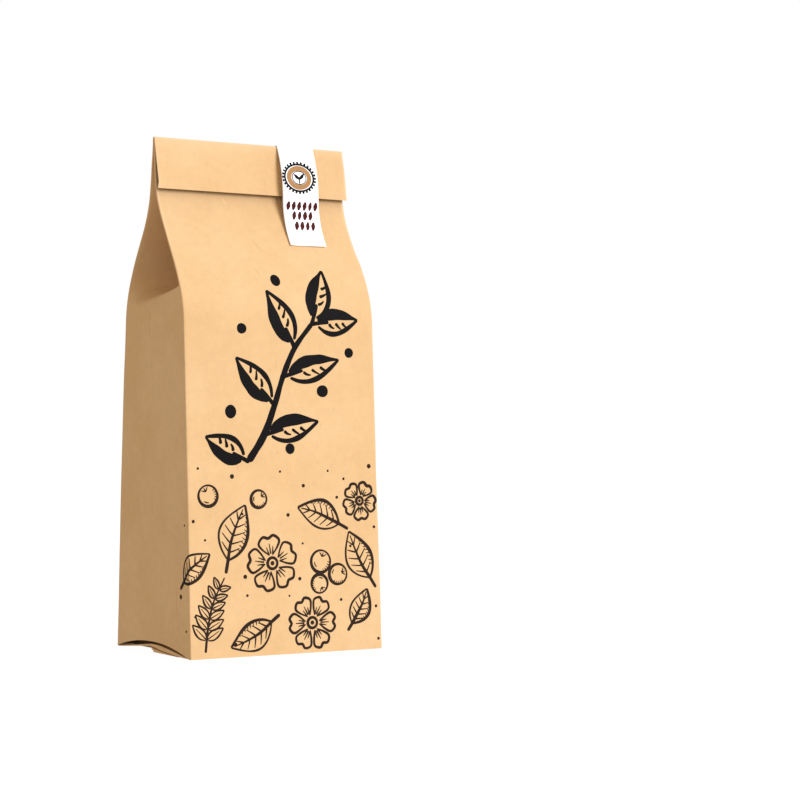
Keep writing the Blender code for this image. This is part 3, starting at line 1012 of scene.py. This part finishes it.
def line_leaf(press, base, degrees, length, width, bend):
    """A leaf in fine line: uneven outline, midrib, side veins and hatching along its lower edge."""
    angle = math.radians(degrees)

    def at(u, v):
        return turned(base, angle, length * u, v * width / 2 + bend * length * math.sin(math.pi * u))

    shares = np.linspace(0.0, 1.0, 9)
    for side, widths in ((1.0, (0.8, 1.1, 0.8)), (-1.0, (1.1, 1.8, 1.1))):
        press.draw([at(u, side * math.sin(math.pi * u**0.85)) for u in shares], widths)
    midrib = [at(-0.22, 0.0), at(0.0, 0.0), at(0.3, 0.04), at(0.62, 0.0), at(0.92, 0.0)]
    press.draw(midrib, (1.6, 1.7, 1.5, 1.0, 0.5))
    for step in range(5):
        u = 0.14 + 0.145 * step
        edge = math.sin(math.pi * (u + 0.12) ** 0.85) * 0.78
        for side in (1.0, -1.0):
            vein = [at(u, 0.0), at(u + 0.06, side * edge * 0.5), at(u + 0.13, side * edge)]
            press.draw(vein, (0.85, 0.65, 0.4))
    for step in range(9):
        u = 0.22 + 0.07 * step
        edge = math.sin(math.pi * u**0.85)
        hatch = [at(u, -edge * 0.96), at(u + 0.015, -edge * 0.80), at(u + 0.03, -edge * 0.66)]
        press.draw(hatch, (0.6, 0.5, 0.3))


def berry(press, across, up, radius, degrees):
    """A round berry with a small crown, a glint and hatching on its shaded side."""
    angle = math.radians(degrees)

    def at(share, turn):
        return around(across, up, radius * share, turn)

    press.ring(across, up, radius, (0.8, 1.4, 1.8, 1.1, 0.8), angle)
    start = at(0.45, angle)
    for spread in (-0.45, 0.0, 0.45):
        end = at(0.86, angle + spread)
        press.draw([start, mix(np.array(start), np.array(end), 0.5), end], (0.8, 0.6, 0.4))
    press.draw([at(0.66, angle + math.pi * s) for s in (0.62, 0.75, 0.88)], (0.4, 0.6, 0.4))
    for step in range(5):
        turn = angle - math.radians(75 + 17 * step)
        press.draw([at(share, turn) for share in (0.93, 0.80, 0.68)], (0.55, 0.45, 0.3))


def blossom(press, across, up, radius, petals, degrees):
    """An open flower: notched petals with fine lines from a ringed heart."""
    half = math.pi / petals
    side = ((0.30, 0.30), (0.82, 0.62), (0.80, 0.88), (0.35, 1.0))
    outline = [(-share, reach) for share, reach in side] + [(0.0, 0.90)] + list(side[::-1])
    for petal in range(petals):
        middle = math.radians(degrees) + 2 * math.pi * petal / petals
        points = [around(across, up, radius * reach, middle + half * share) for share, reach in outline]
        press.draw(points, (0.8, 1.2, 1.5, 1.2, 0.8))
        for share in (-0.35, 0.0, 0.35):
            far = 0.62 if share else 0.72
            points = [around(across, up, radius * reach, middle + half * share) for reach in (0.34, 0.5, far)]
            press.draw(points, (0.9, 0.65, 0.35))
    press.ring(across, up, radius * 0.20, (1.3, 1.6, 1.3))
    press.dot(across, up, radius * 0.08)


def fern(press, stem, leaflet, pairs):
    """A fern frond: a thin stem with open leaflets in pairs, each with a midline."""
    line, reach, _ = flow(stem)
    press.draw(stem, (1.3, 1.0, 0.7))
    for pair in range(pairs):
        place = reach[-1] * (0.16 + 0.80 * pair / pairs)
        x, z = np.interp(place, reach, line[:, 0]), np.interp(place, reach, line[:, 1])
        ahead = np.interp(place + 1.0, reach, line[:, 0]) - x, np.interp(place + 1.0, reach, line[:, 1]) - z
        heading = math.atan2(ahead[1], ahead[0])
        size = leaflet * (1.0 - 0.45 * pair / pairs)
        for side in (-1.0, 1.0):
            angle = heading + side * math.radians(52)
            for edge in (-1.0, 1.0):
                high = edge * size * 0.21
                arch = [(u, high * math.sin(math.pi * u**0.8)) for u in (0.05, 0.3, 0.6, 0.85, 1.0)]
                press.draw([turned((x, z), angle, size * u, aside) for u, aside in arch], (0.6, 1.0, 0.7))
            press.draw([turned((x, z), angle, size * u, 0.0) for u in (0.0, 0.4, 0.75)], (0.7, 0.5, 0.3))


def fine_art(press):
    """Leaves, berries and flowers in fine line round the lower part of the front."""
    for leaf in FINE_LEAVES:
        line_leaf(press, *leaf)
    for flower in BLOSSOMS:
        blossom(press, *flower)
    for fruit in BERRIES:
        berry(press, *fruit)
    fern(press, [(-45, 3), (-43.5, 14), (-40.5, 26), (-34, 38)], 10.5, 6)
    draw = random.Random(8)
    for across, up in DOTS:
        press.dot(across, up, draw.uniform(0.5, 1.1))


def label_art(strip, plain_ink, brown_ink, tan_ink):
    """The white strip's badge of beads and rings round a sprout, and three rows of small leaves below it."""
    centre, up = STRIP_CENTRE_X * 1000 + BADGE_SHIFT, BADGE_HEIGHT
    surface = surface_of(strip)

    def on_oval(share, angle):
        across, high = BADGE_RADII
        return (centre + across * share * math.cos(angle), up + high * share * math.sin(angle))

    def oval(press, share, width):
        angles = np.linspace(0.0, 2 * math.pi, 33)
        press.draw([on_oval(share, a) for a in angles], (width,) * 3, 0.5, closed=True)

    band = Press("label_band", surface, tan_ink, "white_paper")
    oval(band, 0.60, 2.5)
    band.finish()
    dark = Press("label_rings", surface, plain_ink, "white_paper", BADGE_LIFT)
    oval(dark, 0.85, 0.95)
    oval(dark, 0.41, 0.40)
    for bead in range(BEADS):
        dark.dot(*on_oval(BEAD_PLACE, 2 * math.pi * bead / BEADS), BEAD_RADIUS)
    dark.draw([(centre, up - 2.9), (centre + 0.2, up - 1.2), (centre, up + 0.6)], (0.7, 0.6, 0.5), 0.3)
    for along, rise in ((2.9, 2.2), (-2.8, 1.7)):
        leaf = [(centre, up - 1.0), (centre + 0.45 * along, up + 0.15 * rise), (centre + along, up + rise)]
        dark.draw(leaf, (0.4, 2.0, 0.4), 0.3)
    dark.finish()
    rows = Press("label_leaves", surface, brown_ink, "white_paper")
    aside, half = LEAF_HALF
    for height, shift, count in LEAF_ROWS:
        for step in range(count):
            x = centre + shift + LEAF_SPACING * (step - (count - 1) / 2)
            leaf = [(x - aside, height - half), (x, height), (x + aside, height + half)]
            rows.draw(leaf, (0.9, 2.4, 0.9), 0.3)
    rows.finish()


def make_creases(surface):
    """Faint lines along the paper's creases: paler ones are painted highlight, darker ones painted shade."""
    # Painted highlight lines, then painted shade lines, each in its own colour.
    pale = ("crease_painted_highlight", (0.700, 0.455, 0.230), CREASE_HIGHLIGHTS)
    dark = ("crease_painted_shade", (0.585, 0.365, 0.172), CREASE_SHADES)
    for name, colour, lines in (pale, dark):
        material, _ = new_material(name, colour, 0.74, 0.25)
        press = Press(name, surface, material, "kraft_paper", CREASE_LIFT)
        for points, width in lines:
            press.draw(points, (0.1, width, 0.1), 0.5)
        press.finish()


def make_back_seam(surface, material):
    """The lapped seam down the middle of the back, a strip of the paper's second thickness."""
    seam = Press("back_seam", surface, material, "kraft_paper")
    for height in (SEAM_LIFT, -SEAM_SINK):
        for z in np.linspace(SEAM_LOW, SEAM_HIGH, SEAM_ROWS):
            for x in np.linspace(-SEAM_HALF, SEAM_HALF, SEAM_COLUMNS):
                place, normal, _, _ = surface.ray_cast(Vector((x, RAY_START, z)), Vector((0.0, -1.0, 0.0)))
                seam.vertices.append(place + normal * height)
    seam.close(0, SEAM_ROWS, SEAM_COLUMNS)
    seam.finish()


def add_camera():
    """The camera stands where the model's origin falls on its pixel of the photograph."""
    a, e = CAMERA_AZIMUTH, CAMERA_RISE
    forward = Vector((-math.sin(a) * math.cos(e), math.cos(a) * math.cos(e), math.sin(e)))
    level_right = forward.cross(Vector((0.0, 0.0, 1.0))).normalized()
    level_up = level_right.cross(forward)
    right = level_right * math.cos(CAMERA_ROLL) + level_up * math.sin(CAMERA_ROLL)
    up = level_up * math.cos(CAMERA_ROLL) - level_right * math.sin(CAMERA_ROLL)
    centre = IMAGE_PIXELS / 2
    slide = (ORIGIN_PIXEL[0] - centre) / FOCAL_PIXELS
    rise = (centre - ORIGIN_PIXEL[1]) / FOCAL_PIXELS
    place = -(right * slide + up * rise + forward) * CAMERA_DISTANCE
    data = bpy.data.cameras.new("camera")
    data.sensor_width = SENSOR_MM
    data.lens = FOCAL_PIXELS * SENSOR_MM / IMAGE_PIXELS
    camera = place_object("camera", data)
    facing = Matrix((right, up, -forward)).transposed().to_4x4()
    camera.matrix_world = Matrix.Translation(place) @ facing
    bpy.context.scene.camera = camera


def mix_shaders(tree, first, second, output):
    """Sends a mix of two shaders to the tree's output."""
    share = tree.nodes.new("ShaderNodeMixShader")
    tree.links.new(first, share.inputs[1])
    tree.links.new(second, share.inputs[2])
    tree.links.new(share.outputs["Shader"], tree.nodes[output].inputs["Surface"])
    return share.inputs["Fac"]


def add_studio():
    """An even room that looks white, a broad lamp in front on the right, and a white floor."""
    world = bpy.data.worlds.new("studio")
    world.use_nodes = True
    bpy.context.scene.world = world
    tree = world.node_tree
    room = tree.nodes["Background"]
    room.inputs["Color"].default_value = (*ROOM_COLOUR, 1.0)
    seen = tree.nodes.new("ShaderNodeBackground")
    seen.inputs["Color"].default_value = (1.0, 1.0, 1.0, 1.0)
    paths = tree.nodes.new("ShaderNodeLightPath")
    choice = mix_shaders(tree, room.outputs["Background"], seen.outputs["Background"], "World Output")
    tree.links.new(paths.outputs["Is Camera Ray"], choice)
    sun = bpy.data.lights.new("key", "SUN")
    sun.energy = KEY_STRENGTH
    sun.angle = math.radians(KEY_SPREAD)
    sun.color = KEY_COLOUR
    key = place_object("key", sun)
    key.rotation_euler = Vector(KEY_HEADING).to_track_quat("-Z", "Y").to_euler()
    material, nodes = new_material("floor", (0.92, 0.92, 0.92), 0.9)
    nodes.put(Emission_Color=(*FLOOR_GLOW, 1.0), Emission_Strength=1.0)
    clear = nodes.add("ShaderNodeBsdfTransparent")
    solid = nodes.shader.outputs["BSDF"]
    share = mix_shaders(nodes.tree, solid, clear.outputs["BSDF"], "Material Output")
    share.default_value = FLOOR_CLEAR
    bpy.ops.mesh.primitive_plane_add(size=8.0)
    floor = bpy.context.active_object
    floor.name = "floor"
    floor.data.materials.append(material)
    bpy.context.scene.view_settings.view_transform = "Standard"


def main():
    kraft = kraft_material()
    white = white_paper_material()
    black = ink_material("black_ink", (0.005, 0.004, 0.004))
    brown = ink_material("brown_ink", (0.026, 0.014, 0.009))
    add_camera()
    add_studio()
    bag = make_bag(kraft)
    make_base_layers(kraft)
    strip = make_strip(white)
    paper = surface_of(bag)
    bold = Press("print_sprig", paper, black, "kraft_paper")
    bold_sprig(bold)
    bold.finish()
    fine = Press("print_line_art", paper, brown, "kraft_paper")
    fine_art(fine)
    fine.finish()
    make_creases(paper)
    make_back_seam(paper, kraft)
    red_brown = ink_material("red_brown_ink", (0.065, 0.010, 0.008))
    label_art(strip, black, red_brown, ink_material("tan_ink", (0.395, 0.206, 0.084)))


main()
